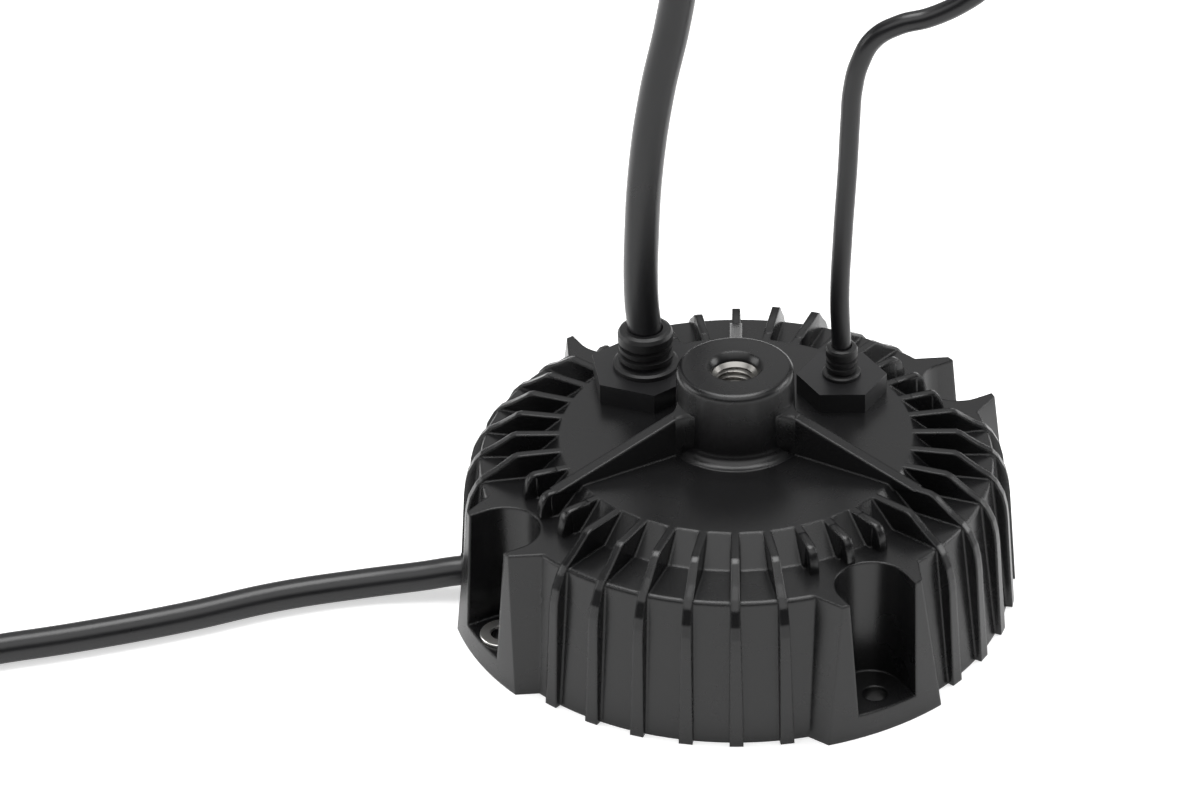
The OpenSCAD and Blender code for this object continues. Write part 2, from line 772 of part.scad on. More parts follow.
// Side vector of each ring, turned on from the ring before
function ring_sides(route, last = [0, 1, 0], i = 0) =
    let (d = route_dir(route, i), u = unit(last - (last * d) * d))
    i == len(route) - 1 ? [u] : concat([u], ring_sides(route, u, i + 1));

// A tube of lead along a route, with a flat face at each end
module tube(route, d, sides) {
    turned = ring_sides(route);
    polyhedron(
        points = [for (i = [0:len(route) - 1], k = [0:sides - 1])
            let (a = full_turn * k / sides)
            route[i] + d / 2 * (cos(a) * turned[i] + sin(a) * cross(route_dir(route, i), turned[i]))],
        faces = concat(
            [[for (k = [0:sides - 1]) k]],
            [for (i = [0:len(route) - 2], k = [0:sides - 1])
                [i * sides + k, (i + 1) * sides + k, (i + 1) * sides + (k + 1) % sides, i * sides + (k + 1) % sides]],
            [[for (k = [sides - 1:-1:0]) (len(route) - 1) * sides + k]]));
}

// The bare cores that come out of a lead's end: kind is 0 for the insulated part and 1 for the tinned tip
module core_ends(route, lead_d, count, kind) {
    d = route_dir(route, len(route) - 1);
    core_d = lead_d * core_d_share;
    translate(route[len(route) - 1]) rotate([0, 0, atan2(d[1], d[0])]) rotate([0, quarter_turn, 0])
        for (i = [0:count - 1])
            at_polar(lead_d * core_spread_share, core_first_a + i * full_turn / count, kind * core_l)
                cylinder(d = kind == 1 ? core_d * tip_d_share : core_d, h = kind == 1 ? tip_l : core_l);
}

core_first_a = 90;
core_l = 28;
tip_l = 7;
tip_d_share = 0.6;
thick_sides = 12;
thin_sides = 10;

// Routes of the leads, chosen by hand, from inside the gland or the bush to the end of the jacket
mains_x = gland_ring_r * cos(mains_a);
mains_y = gland_ring_r * sin(mains_a);
mains_route = [[mains_x, mains_y, lead_start_h], [mains_x, mains_y, 55], [-22.1, 22, 64.6], [-21.6, 22, 83.7],
    [-20.1, 22, 102.2], [-17.3, 22, 120.3], [-13.4, 22, 137.9], [-11.5, 22, 150], [-10.8, 26.4, 166.5],
    [-10.7, 38.5, 178.6], [-11, 55, 183], [-11.6, 71.5, 178.6], [-12.4, 83.6, 166.5], [-13, 88, 150],
    [-13.5, 88, 130], [-14.8, 88, 105], [-19.2, 88, 84.5], [-22.3, 88, 64.9], [-24, 88, 44.9], [-23.9, 88, 36],
    [-19.7, 88, 20.65], [-7.6, 88, 8.57], [5, 88, 4.3], [18, 88, 4.15]];
dimming_x = gland_ring_r * cos(dimming_a);
dimming_y = gland_ring_r * sin(dimming_a);
dimming_route = [[dimming_x, dimming_y, lead_start_h], [dimming_x, dimming_y, 53], [24.6, 18, 67], [25.2, 18, 84],
    [26.2, 18, 102], [26.7, 18, 114], [27.3, 18, 123], [28.8, 18, 129.5], [32, 18, 135.5], [37.5, 18, 138.9],
    [44.5, 18, 140.8], [52.5, 18, 144.9], [60, 18, 151], [71, 18, 158], [84, 18, 162.5], [98, 18, 163],
    [111, 18, 160], [123.5, 18, 153.5], [134, 18, 144.5], [142, 18, 133], [147, 18, 120.5], [149.5, 18, 107],
    [150, 18, 93], [150, 18.5, 79], [149.5, 19, 65], [149, 20, 51], [148, 22, 37.5], [147, 25, 25],
    [145.5, 30, 14], [144, 37.5, 6.2], [142.5, 47, 2.6], [141, 57, 2.4]];
output_start = [output_start_r * cos(output_a), output_start_r * sin(output_a), output_h];
output_out = [(wall_foot_r + bush_nose) * cos(output_a), (wall_foot_r + bush_nose) * sin(output_a), output_h];
output_route = [output_start, output_out, [-75, -6.5, 5.1], [-88.2, -7.6, 3.9], [-109.5, -12.8, 3.7], [-130.4, -20.9, 3.7],
    [-151.1, -27.6, 3.7], [-167.7, -32, 3.7], [-182, -35, 3.7], [-197, -33.5, 3.7], [-209, -24.5, 3.7],
    [-215, -10.5, 3.7], [-216, 6, 3.7], [-215.5, 24, 3.7], [-214, 42, 3.7]];

module mains_lead() {
    color("#1a1a1a") tube(mains_route, mains_d, thick_sides);
}

module mains_cores() {
    color("#6b4a2e") core_ends(mains_route, mains_d, 3, 0);
}

module mains_core_tips() {
    color("silver") core_ends(mains_route, mains_d, 3, 1);
}

module dimming_lead() {
    color("#1a1a1a") tube(dimming_route, dimming_d, thin_sides);
}

module dimming_cores() {
    color("#7c4d86") core_ends(dimming_route, dimming_d, 2, 0);
}

module dimming_core_tips() {
    color("silver") core_ends(dimming_route, dimming_d, 2, 1);
}

module output_lead() {
    color("#1a1a1a") tube(output_route, output_d, thick_sides);
}

module output_cores() {
    color("#a02020") core_ends(output_route, output_d, 2, 0);
}

module output_core_tips() {
    color("silver") core_ends(output_route, output_d, 2, 1);
}

housing();
thread_insert();
base_plate();
base_gasket();
base_screws();
mains_gland();
mains_locknut();
mains_boot();
dimming_gland();
dimming_locknut();
dimming_boot();
output_bush();
circuit_board();
board_screws();
insulating_sheet();
transformer_core();
transformer_bobbin();
transformer_winding();
choke_core();
choke_winding();
input_choke_core();
input_choke_winding();
bulk_capacitors();
output_capacitors();
film_capacitor();
disc_capacitors();
fuse();
varistor();
bridge_rectifier();
power_transistors();
heat_bar();
control_board();
control_chips();
mains_inner_wires();
dimming_inner_wires();
output_inner_wires();
mains_lead();
mains_cores();
mains_core_tips();
dimming_lead();
dimming_cores();
dimming_core_tips();
output_lead();
output_cores();
output_core_tips();
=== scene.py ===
# %% [markdown]
# # A round LED driver
# The object is a black die-cast housing with cooling fins, a hanging boss, two cable glands and three leads.
# The rigid pieces come from the CAD model, which is loaded as a fixed frame. Blender adds the leads, the
# details that CAD leaves plain, the finishes and the light.

import json
import math

import bpy
from mathutils import Matrix, Vector
from mathutils.geometry import interpolate_bezier


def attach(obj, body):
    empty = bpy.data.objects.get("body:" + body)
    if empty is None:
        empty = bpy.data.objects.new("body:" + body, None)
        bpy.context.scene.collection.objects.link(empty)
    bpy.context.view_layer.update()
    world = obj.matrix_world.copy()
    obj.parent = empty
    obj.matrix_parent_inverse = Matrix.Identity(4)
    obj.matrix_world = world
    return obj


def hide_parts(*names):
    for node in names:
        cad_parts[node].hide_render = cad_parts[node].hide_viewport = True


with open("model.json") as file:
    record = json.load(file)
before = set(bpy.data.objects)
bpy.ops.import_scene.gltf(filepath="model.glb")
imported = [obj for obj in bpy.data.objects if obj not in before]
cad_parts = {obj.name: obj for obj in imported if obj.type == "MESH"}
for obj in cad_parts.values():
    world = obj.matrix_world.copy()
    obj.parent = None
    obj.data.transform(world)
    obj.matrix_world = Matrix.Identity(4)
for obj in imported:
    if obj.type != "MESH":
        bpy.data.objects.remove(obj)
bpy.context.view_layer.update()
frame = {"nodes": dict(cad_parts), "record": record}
nodes = frame["nodes"]
bpy.ops.object.select_all(action="DESELECT")
print("CAD pieces:", len(nodes))


def mm(*sizes):
    """Sizes in millimetres as metres, one number or a vector."""
    return sizes[0] / 1000 if len(sizes) == 1 else Vector([s / 1000 for s in sizes])


# %% [markdown]
# ## The camera
# The driver is seen from the front and above with a long lens. The camera could be set by eye. Its place,
# roll and focal length were found instead by fitting the housing's circles and fins to their places in the
# picture, because then each piece can be judged where it stands. The camera looks a little past the object's
# left side, so that the object stands right of the middle and the side lead shows.

# %% Camera
PICTURE_WIDTH, SENSOR_WIDTH = 1200, 36
FOCAL_PX, RIGHT_OF_MIDDLE_PX = 3970.8, 135.3
CAMERA_PLACE, CAMERA_AIM = mm(6.2, -778.3, 554.4), mm(0, 0, 50.7)
CAMERA_ROLL = math.radians(-0.59)
NEAREST_SEEN = 0.01

forward = (CAMERA_AIM - CAMERA_PLACE).normalized()
right = forward.cross(Vector((0, 0, 1))).normalized()
up = right.cross(forward)
rolled_right = right * math.cos(CAMERA_ROLL) + up * math.sin(CAMERA_ROLL)
rolled_up = rolled_right.cross(forward)
turn_left = math.atan(RIGHT_OF_MIDDLE_PX / FOCAL_PX)
look = forward * math.cos(turn_left) - rolled_right * math.sin(turn_left)
side = look.cross(rolled_up).normalized()
camera_turn = Matrix((side, side.cross(look), -look)).transposed().to_4x4()

camera_data = bpy.data.cameras.new("camera")
camera_data.sensor_width = SENSOR_WIDTH
camera_data.lens = FOCAL_PX * SENSOR_WIDTH / PICTURE_WIDTH
camera_data.clip_start = NEAREST_SEEN
camera = bpy.data.objects.new("camera", camera_data)
bpy.context.scene.collection.objects.link(camera)
camera.matrix_world = Matrix.Translation(CAMERA_PLACE) @ camera_turn
bpy.context.scene.camera = camera
print("lens", round(camera_data.lens, 1), "mm")

# %% [markdown]
# ## The leads
# A lead is a round cable in a rubber jacket. It could be a circle extruded step by step. A curve with a
# round profile is the better way, because automatic handles make one smooth line through a few points. The
# points are those of the CAD routes, except on the mains lead's last stretch. The mains lead is stiff: it
# stands up out of its gland, bows over behind the view and comes down where its rising stretch hides it.
# The dimming lead is thin and bends sooner, and the output lead lies on the ground.

# %% Routes of the leads
MAINS_ROUTE = [
    (-21.4, 21.8, 38.4), (-21.4, 21.8, 55), (-22.1, 22, 64.6), (-21.6, 22, 83.7), (-20.1, 22, 102.2),
    (-17.3, 22, 120.3), (-13.4, 22, 137.9), (-11.5, 22, 150), (-10.8, 26.4, 166.5), (-10.7, 38.5, 178.6),
    (-11, 55, 183), (-11.6, 71.5, 178.6), (-12.4, 83.6, 166.5), (-13, 88, 150), (-13.5, 88, 130),
    (-14.8, 88, 105), (-19.2, 88, 84.5), (-22.3, 86.2, 64.9), (-23.8, 82.4, 45), (-24, 79.5, 29),
    (-23.8, 80, 20.1), (-23.7, 82.9, 12), (-23.7, 87.8, 4.9),
]
DIMMING_ROUTE = [
    (25.1, 17.3, 38.4), (25.1, 17.3, 53), (24.6, 18, 67), (25.2, 18, 84), (26.2, 18, 102), (26.7, 18, 114),
    (27.3, 18, 123), (28.8, 18, 129.5), (32, 18, 135.5), (37.5, 18, 138.9), (44.5, 18, 140.8),
    (52.5, 18, 144.9), (60, 18, 151), (71, 18, 158), (84, 18, 162.5), (98, 18, 163),
    (111, 18, 160), (123.5, 18, 153.5), (134, 18, 144.5), (142, 18, 133), (147, 18, 120.5), (149.5, 18, 107),
    (150, 18, 93), (150, 18.5, 79), (149.5, 19, 65), (149, 20, 51), (148, 22, 37.5), (147, 25, 25),
    (145.5, 30, 14), (144, 37.5, 6.2), (142.5, 47, 2.6), (141, 57, 2.4),
]
OUTPUT_ROUTE = [
    (-55.6, -4.9, 6.2), (-65.8, -5.8, 6.2), (-75, -6.5, 5.1), (-88.2, -7.6, 3.9), (-109.5, -12.8, 3.7),
    (-130.4, -20.9, 3.7), (-151.1, -27.6, 3.7), (-167.7, -32, 3.7), (-182, -35, 3.7), (-197, -33.5, 3.7),
    (-209, -24.5, 3.7), (-215, -10.5, 3.7), (-216, 6, 3.7), (-215.5, 24, 3.7), (-214, 42, 3.7),
]

# %% Leads
MAINS_D, DIMMING_D, OUTPUT_D = 8.2, 4.6, 7.2
PROFILE_STEPS, LINE_STEPS = 6, 8


def round_line(name, route, diameter):
    """A round tube along a smooth line through a route in millimetres, and the points of that line."""
    line = bpy.data.curves.new(name, "CURVE")
    line.dimensions = "3D"
    line.resolution_u = LINE_STEPS
    line.bevel_depth = mm(diameter) / 2
    line.bevel_resolution = PROFILE_STEPS
    line.use_fill_caps = True
    spline = line.splines.new("BEZIER")
    spline.bezier_points.add(len(route) - 1)
    for point, where in zip(spline.bezier_points, route):
        point.co = mm(*where)
        point.handle_left_type = point.handle_right_type = "AUTO"
    tube = bpy.data.objects.new(name, line)
    bpy.context.scene.collection.objects.link(tube)
    bpy.context.view_layer.update()
    centre = [tuple(spline.bezier_points[0].co)]
    for start, end in zip(spline.bezier_points, spline.bezier_points[1:]):
        span = interpolate_bezier(start.co, start.handle_right, end.handle_left, end.co, LINE_STEPS + 1)
        centre += [tuple(where) for where in span[1:]]
    tube.select_set(True)
    bpy.context.view_layer.objects.active = tube
    bpy.ops.object.convert(target="MESH")
    bpy.ops.object.select_all(action="DESELECT")
    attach(tube, "root")
    return tube, centre


mains_cable, mains_centre = round_line("mains_cable", MAINS_ROUTE, MAINS_D)
dimming_cable, dimming_centre = round_line("dimming_cable", DIMMING_ROUTE, DIMMING_D)
output_cable, output_centre = round_line("output_cable", OUTPUT_ROUTE, OUTPUT_D)
for name, centre in (("mains", mains_centre), ("dimming", dimming_centre), ("output", output_centre)):
    reach = sum((Vector(b) - Vector(a)).length for a, b in zip(centre, centre[1:]))
    print(name, "line", round(reach, 3), "m")
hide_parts("mains_lead")
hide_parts("dimming_lead")
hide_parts("output_lead")

# %% [markdown]
# ## The bare ends
# Each lead ends in its cores, stripped and tinned, ready for a terminal. All the cores of a lead could be
# one piece, as in CAD. Here each is a line of its own, so that each has its own colour. The cores leave the
# jacket side by side, drift apart and come down to lie on the ground. A tip is a thinner line along the last
# points of its core's route.

# %% Routes of the cores
MAINS_CORES = [
    [(-23.7, 88.2, 7.6), (-22.8, 90.2, 4.8), (-19.5, 90.8, 2.4), (-13.5, 90.2, 1.3), (-6, 88.6, 1.3),
     (-2.6, 87.6, 1.1), (1, 86.4, 1)],
    [(-25.5, 86.2, 5.2), (-26.2, 88.2, 2.7), (-29, 89.6, 1.4), (-35, 89.2, 1.3), (-42, 87, 1.3),
     (-45.3, 85.6, 1.1), (-48.5, 84, 1)],
    [(-21.9, 86.2, 5.2), (-21.2, 87.9, 2.7), (-18.4, 88.3, 1.4), (-13, 86.6, 1.3), (-7, 83.5, 1.3),
     (-4, 81.6, 1.1), (-1, 79.6, 1)],
]
DIMMING_CORES = [
    [(139.9, 56.5, 2.4), (139.2, 64, 1.6), (137.6, 72, 0.8), (137.2, 79, 0.8), (137.6, 84.5, 0.8),
     (138, 88, 0.7), (138.3, 91.5, 0.6)],
    [(142.3, 56.7, 2.4), (142.4, 64, 1.5), (143.6, 71.5, 0.8), (144.4, 78.6, 0.8), (144.2, 84.2, 0.8),
     (143.8, 87.6, 0.7), (143.2, 91, 0.6)],
]
OUTPUT_CORES = [
    [(-215.8, 41.5, 3.7), (-216, 49, 2.6), (-215.6, 56.5, 1.4), (-214.4, 63, 1.1), (-213.4, 69.4, 1.1),
     (-213, 73, 1), (-212.6, 76.6, 0.8)],
    [(-212.1, 41.3, 3.7), (-211, 49, 2.5), (-208.8, 56, 1.3), (-207.2, 62.6, 1.1), (-206.8, 69, 1.1),
     (-207, 72.6, 1), (-207.4, 76.2, 0.8)],
]

# %% Cores and tips
MAINS_CORE_D, DIMMING_CORE_D, OUTPUT_CORE_D, TIP_SHARE = 2.46, 1.38, 2.16, 0.6
core_ends = {}


def bare_end(lead, routes, diameter):
    """The cores of one lead, each with a tinned tip over the last stretch of its route."""
    sleeves, tips = [], []
    for number, route in enumerate(routes, 1):
        sleeve, _ = round_line(f"{lead}_core_{number}", route[:-2], diameter)
        tip, _ = round_line(f"{lead}_tip_{number}", route[-3:], diameter * TIP_SHARE)
        sleeves.append(sleeve)
        tips.append(tip)
    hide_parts(f"{lead}_cores")
    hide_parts(f"{lead}_core_tips")
    core_ends[lead] = (sleeves, tips)
    print(lead, "cores:", len(sleeves))
    return sleeves + tips


mains_end = bare_end("mains", MAINS_CORES, MAINS_CORE_D)
dimming_end = bare_end("dimming", DIMMING_CORES, DIMMING_CORE_D)
output_end = bare_end("output", OUTPUT_CORES, OUTPUT_CORE_D)

# %% [markdown]
# ## Round pieces by hand
# A turned or cast round body has one outline all the way round. It could be a Screw or Spin of that
# outline. Here a circle is extruded, moved and scaled ring by ring, as one would do it by hand, because
# then each ring is where its radius and height say.

# %% Rings
MERGE_DISTANCE = 0.001


def extrude(*step):
    """Extrudes what is selected by a step in millimetres."""
    bpy.ops.mesh.extrude_region_move(TRANSFORM_OT_translate={"value": tuple(mm(*step))})


def shift(*step):
    """Moves what is selected by a step in millimetres."""
    bpy.ops.transform.translate(value=tuple(mm(*step)))


def resize(x, y, z, about=(0, 0, 0)):
    """Scales what is selected about a point in millimetres."""
    bpy.ops.transform.resize(value=(x, y, z), center_override=tuple(mm(*about)))


def ringed(name, profile, around=96, place=(0, 0, 0), angle=35):
    """A round body from a profile of (radius, height) in millimetres, moved to its place."""
    bpy.ops.object.select_all(action="DESELECT")
    radius, height = profile[0]
    bpy.ops.mesh.primitive_circle_add(vertices=around, radius=mm(radius), location=mm(0, 0, height))
    piece = bpy.context.active_object
    piece.name = name
    bpy.ops.object.transform_apply(location=True, rotation=False, scale=False)
    bpy.ops.object.mode_set(mode="EDIT")
    bpy.ops.mesh.select_all(action="SELECT")
    for next_radius, next_height in profile[1:]:
        extrude(0, 0, next_height - height)
        grow = next_radius / radius
        resize(grow, grow, 1, about=(0, 0, next_height))
        radius, height = next_radius, next_height
    bpy.ops.mesh.select_all(action="SELECT")
    bpy.ops.mesh.remove_doubles(threshold=mm(MERGE_DISTANCE))
    bpy.ops.mesh.normals_make_consistent(inside=False)
    shift(*place)
    bpy.ops.object.mode_set(mode="OBJECT")
    bpy.ops.object.shade_smooth_by_angle(angle=math.radians(angle))
    bpy.ops.object.select_all(action="DESELECT")
    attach(piece, "root")
    print(name, len(piece.data.polygons), "faces")
    return piece


def arc(centre_r, centre_z, radius, start, end, steps=6):
    """Points of (radius, height) on an arc, from one angle in degrees to another."""
    angles = [math.radians(start + (end - start) * step / steps) for step in range(steps + 1)]
    return [(centre_r + radius * math.cos(a), centre_z + radius * math.sin(a)) for a in angles]


# %% [markdown]
# ## The hanging boss
# The real boss stands a little taller than CAD's and runs into the roof in a soft fillet. It could replace
# the whole housing's mesh. A skin over CAD's boss is enough: fillet, drafted side, rounded edge, flat top
# and the cone of the mouth. Its inner side is inside the casting, where nobody sees it.

# %% Boss skin
ROOF_H, BOSS_TOP = 41.5, 59.8
BOSS_FOOT_R, BOSS_R, BOSS_ROUND, BOSS_FILLET = 14.0, 13.72, 1.7, 3.0
MOUTH_R, MOUTH_LOW_R, MOUTH_LOW = 6.3, 5.3, 57.7
MOUTH_EDGE_W, MOUTH_EDGE_H = 0.2, 0.15
SEAT_W, SEAT_INNER_DROP, SEAT_OUTER_DROP = 1.5, 0.1, 0.3
SINK = 1

fillet_r = BOSS_FOOT_R + BOSS_FILLET
boss_outline = (
    arc(fillet_r, ROOF_H + BOSS_FILLET, BOSS_FILLET, 270, 180)
    + arc(BOSS_R - BOSS_ROUND, BOSS_TOP - BOSS_ROUND, BOSS_ROUND, 0, 90)
    + [(MOUTH_R + MOUTH_EDGE_W, BOSS_TOP), (MOUTH_R, BOSS_TOP - MOUTH_EDGE_H), (MOUTH_LOW_R, MOUTH_LOW)]
    + [(MOUTH_LOW_R + SEAT_W, MOUTH_LOW - SEAT_INNER_DROP), (BOSS_R - SINK, MOUTH_LOW - SEAT_OUTER_DROP)]
    + [(BOSS_R - SINK, ROOF_H - SINK), (fillet_r, ROOF_H - SINK), (fillet_r, ROOF_H)]
)
boss_skin = ringed("boss_skin", boss_outline, angle=30)

# %% [markdown]
# ## The arms' roots
# Each arm flares where it leaves the boss. The flare could be cut with a Boolean and rounded. Here it is a
# flat strip that narrows outward along a fillet's arc and is extruded upward, because then its top can
# follow the falling crest of the arm.

# %% Picking and rounding
EDGE_SEGMENTS, SHARP_ANGLE, SMOOTH_ANGLE = 2, 50, 40


def pick(piece, test):
    """Goes into edit mode with those vertices selected whose place passes a test."""
    bpy.context.view_layer.objects.active = piece
    bpy.ops.object.mode_set(mode="EDIT")
    bpy.ops.mesh.select_mode(type="VERT")
    bpy.ops.mesh.select_all(action="DESELECT")
    bpy.ops.object.mode_set(mode="OBJECT")
    for vertex in piece.data.vertices:
        vertex.select = test(vertex.co)
    bpy.ops.object.mode_set(mode="EDIT")


def round_and_turn(piece, edge, angle):
    """Rounds the sharp edges by a width in millimetres and turns the piece to its angle in degrees."""
    rounded = piece.modifiers.new("rounded", "BEVEL")
    rounded.width, rounded.segments, rounded.limit_method = mm(edge), EDGE_SEGMENTS, "ANGLE"
    rounded.angle_limit = math.radians(SHARP_ANGLE)
    bpy.ops.object.modifier_apply(modifier="rounded")
    piece.rotation_euler.z = math.radians(angle)
    piece.select_set(True)
    bpy.ops.object.transform_apply(location=False, rotation=True, scale=False)
    bpy.ops.object.shade_smooth_by_angle(angle=math.radians(SMOOTH_ANGLE))
    bpy.ops.object.select_all(action="DESELECT")
    return piece


# %% Arm roots
ARM_HALF_W, ARM_TOP, ARM_REACH = 1.55, 52.25, 48.5
ROOT_FILLET, ROOT_DEPTH, ROOT_EDGE, STATION_SLACK = 4.0, 3, 0.5, 0.01


def arm_root(angle):
    """The flare of one arm, turned to its angle in degrees."""
    bpy.ops.object.select_all(action="DESELECT")
    centre_half = ARM_HALF_W + ROOT_FILLET
    centre_r = math.sqrt((BOSS_FOOT_R + ROOT_FILLET) ** 2 - centre_half ** 2)
    first_a = 180 + math.degrees(math.atan2(centre_half, centre_r))
    outline = arc(centre_r, centre_half, ROOT_FILLET, first_a, 270)
    (r, half), *rest = outline
    start_r = r - ROOT_DEPTH
    bpy.ops.mesh.primitive_plane_add(size=1, location=mm((start_r + r) / 2, 0, ROOF_H - SINK))
    piece = bpy.context.active_object
    piece.name = f"arm_root_{angle}"
    piece.scale = (mm(r - start_r), mm(2 * half), 1)
    bpy.ops.object.transform_apply(location=True, rotation=True, scale=True)
    pick(piece, lambda place: place.x > mm((start_r + r) / 2))
    for next_r, next_half in rest:
        extrude(next_r - r, 0, 0)
        resize(1, next_half / half, 1)
        r, half = next_r, next_half
    bpy.ops.mesh.select_all(action="SELECT")
    extrude(0, 0, ARM_TOP - ROOF_H + SINK)
    fall = (ARM_TOP - ROOF_H) / (ARM_REACH - BOSS_R)
    for next_r, _ in outline:
        pick(piece, lambda place: place.z > mm(ROOF_H) and abs(place.x - mm(next_r)) < mm(STATION_SLACK))
        shift(0, 0, -fall * max(0, next_r - BOSS_R))
    bpy.ops.mesh.select_all(action="SELECT")
    bpy.ops.mesh.normals_make_consistent(inside=False)
    bpy.ops.object.mode_set(mode="OBJECT")
    return round_and_turn(piece, ROOT_EDGE, angle)


# %% [markdown]
# ## The threaded insert
# CAD keeps the thread as a plain bore. A bump in the finish could draw the thread, but its crests would not
# stand out. Here the bore carries a real one: a plane is stood up and narrowed at its crest, and climbs one
# pitch per turn under a Screw modifier. The body is ringed, and the thread's ends run out inside its rims.

# %% Threaded insert
INSERT_LOW, INSERT_HIGH, INSERT_R = 43.7, 57.7, 7.0
THREAD_ROOT_R, THREAD_CREST_R, PITCH, TURNS, TURN_STEPS = 5.0, 4.28, 1.5, 8, 48
RIM_R, RIM_H, RUN_OUT = 5.3, 0.9, 0.5
RIDGE_LOW, RIDGE_MIDDLE, RIDGE_HIGH, CREST_SHARE = 0.3, 0.9, 1.5, 0.15
CREST_SLACK, ROOT_OVERLAP = 0.1, 0.05
insert_outline = [
    (THREAD_ROOT_R, INSERT_LOW), (INSERT_R, INSERT_LOW), (INSERT_R, INSERT_HIGH), (RIM_R, INSERT_HIGH),
    (THREAD_CREST_R + CREST_SLACK, INSERT_HIGH - RIM_H), (THREAD_ROOT_R, INSERT_HIGH - RIM_H - RUN_OUT),
    (THREAD_ROOT_R, INSERT_LOW),
]
insert_body = ringed("threaded_insert", insert_outline, around=64)


def standing_plane(name, low_corner, high_corner):
    """A plane that stands along X, between two corners of (distance, height) in millimetres."""
    bpy.ops.object.select_all(action="DESELECT")
    x, z = [(low + high) / 2 for low, high in zip(low_corner, high_corner)]
    bpy.ops.mesh.primitive_plane_add(size=1, location=mm(x, 0, z), rotation=(math.pi / 2, 0, 0))
    piece = bpy.context.active_object
    piece.name = name
    piece.scale = (mm(high_corner[0] - low_corner[0]), mm(high_corner[1] - low_corner[1]), 1)
    bpy.ops.object.transform_apply(location=True, rotation=True, scale=True)
    return piece


ridge_low = (THREAD_CREST_R, INSERT_LOW + RIDGE_LOW)
ridge_high = (THREAD_ROOT_R + ROOT_OVERLAP, INSERT_LOW + RIDGE_HIGH)
thread = standing_plane("insert_thread", ridge_low, ridge_high)
pick(thread, lambda place: place.x < mm(THREAD_CREST_R + CREST_SLACK))
resize(1, 1, CREST_SHARE, about=(THREAD_CREST_R, 0, INSERT_LOW + RIDGE_MIDDLE))
bpy.ops.object.mode_set(mode="OBJECT")
climb = thread.modifiers.new("climb", "SCREW")
climb.steps = climb.render_steps = TURN_STEPS
climb.screw_offset, climb.iterations = mm(PITCH), TURNS
bpy.ops.object.modifier_apply(modifier="climb")
thread.select_set(True)
insert_body.select_set(True)
bpy.context.view_layer.objects.active = insert_body
bpy.ops.object.join()
bpy.ops.object.select_all(action="DESELECT")
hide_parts("thread_insert")
print("insert with its thread:", len(insert_body.data.polygons), "faces")

# %% [markdown]
# ## The earth washer
# In the left front pocket a bright washer lies on the casting round the mounting hole, so that the screw
# earths the housing. It could be a cylinder with a hole. It is ringed as the boss is, because its stamped
# edges are round and catch the light.

# %% Earth washer
POCKET_FLOOR, SCREW_RING_R, EARTH_A = 5.9, 63, math.radians(210)
WASHER_OUTLINE = [
    (2.8, -0.05), (5.1, -0.05), (5.3, 0.15), (5.3, 0.65), (5.15, 0.8), (2.95, 0.8), (2.8, 0.65), (2.8, -0.05),
]
washer = ringed("earth_washer", [(r, POCKET_FLOOR + z) for r, z in WASHER_OUTLINE], around=48,
                place=(SCREW_RING_R * math.cos(EARTH_A), SCREW_RING_R * math.sin(EARTH_A), 0))

# %% [markdown]
# ## The fins
# Behind the roof the fins stay level further out before they fall, and beside the pockets they end in a
# quarter round. Either could be a box cut to shape. Each is a strip instead: a standing plane whose outer
# edge is extruded station by station, which gives its crest a bend at each. Then it is thickened, narrowed
# towards the crest as a casting's draft asks, and rounded along its edges.

# %% One fin
FIN_FOOT_W, FIN_TOP_W, FIN_SPARE, FIN_LIFT, FIN_EDGE = 3.2, 1.9, 0.1, 0.06, 0.35
LEVEL_DIGITS, LEVEL_SLACK = 5, 0.006


def fin(name, stations, angle):
    """A fin from stations of (radius, low edge, crest), turned to its angle in degrees."""
    start_r, low, crest = stations[0]
    last_r = stations[1][0]
    piece = standing_plane(name, (start_r, low), (last_r, crest))
    pick(piece, lambda place: place.x > mm((start_r + last_r) / 2))
    span, middle = crest - low, (crest + low) / 2
    for r, low, crest in stations[1:]:
        if r > last_r:
            extrude(r - last_r, 0, 0)
        next_middle = (low + crest) / 2
        shift(0, 0, next_middle - middle)
        resize(1, 1, (crest - low) / span, about=(r, 0, next_middle))
        span, middle, last_r = crest - low, next_middle, r
    bpy.ops.object.mode_set(mode="OBJECT")
    thick = piece.modifiers.new("thick", "SOLIDIFY")
    thick.thickness, thick.offset = mm(FIN_FOOT_W), 0
    bpy.ops.object.modifier_apply(modifier="thick")
    for level in sorted({round(vertex.co.z, LEVEL_DIGITS) for vertex in piece.data.vertices}):
        pick(piece, lambda place: abs(place.z - level) < mm(LEVEL_SLACK))
        width = FIN_FOOT_W - (FIN_FOOT_W - FIN_TOP_W) * level / mm(ROOF_H) + FIN_SPARE
        resize(1, width / FIN_FOOT_W, 1)
        bpy.ops.object.mode_set(mode="OBJECT")
    return round_and_turn(piece, FIN_EDGE, angle)


# %% Long and short fins
FIN_START_R, FIN_ROOT_H, FIN_OUTER_LOW, FIN_LEAST_H = 44, 33, 30, 3
FIN_CREST = ROOF_H + FIN_LIFT
SHOULDER_R, SHOULDER_H = 64.6, 25
FALL_SHARES = [
    (0, 1), (0.1, 0.97), (0.24, 0.885), (0.42, 0.782), (0.66, 0.667), (0.78, 0.56), (0.91, 0.364),
    (0.97, 0.18), (1, 0),
]
ROUND_R, ROUND_REACH, ROUND_FOOT_H, ROUND_ANGLES = 49.6, 2.8, 35.3, (20, 38, 54, 68, 80)


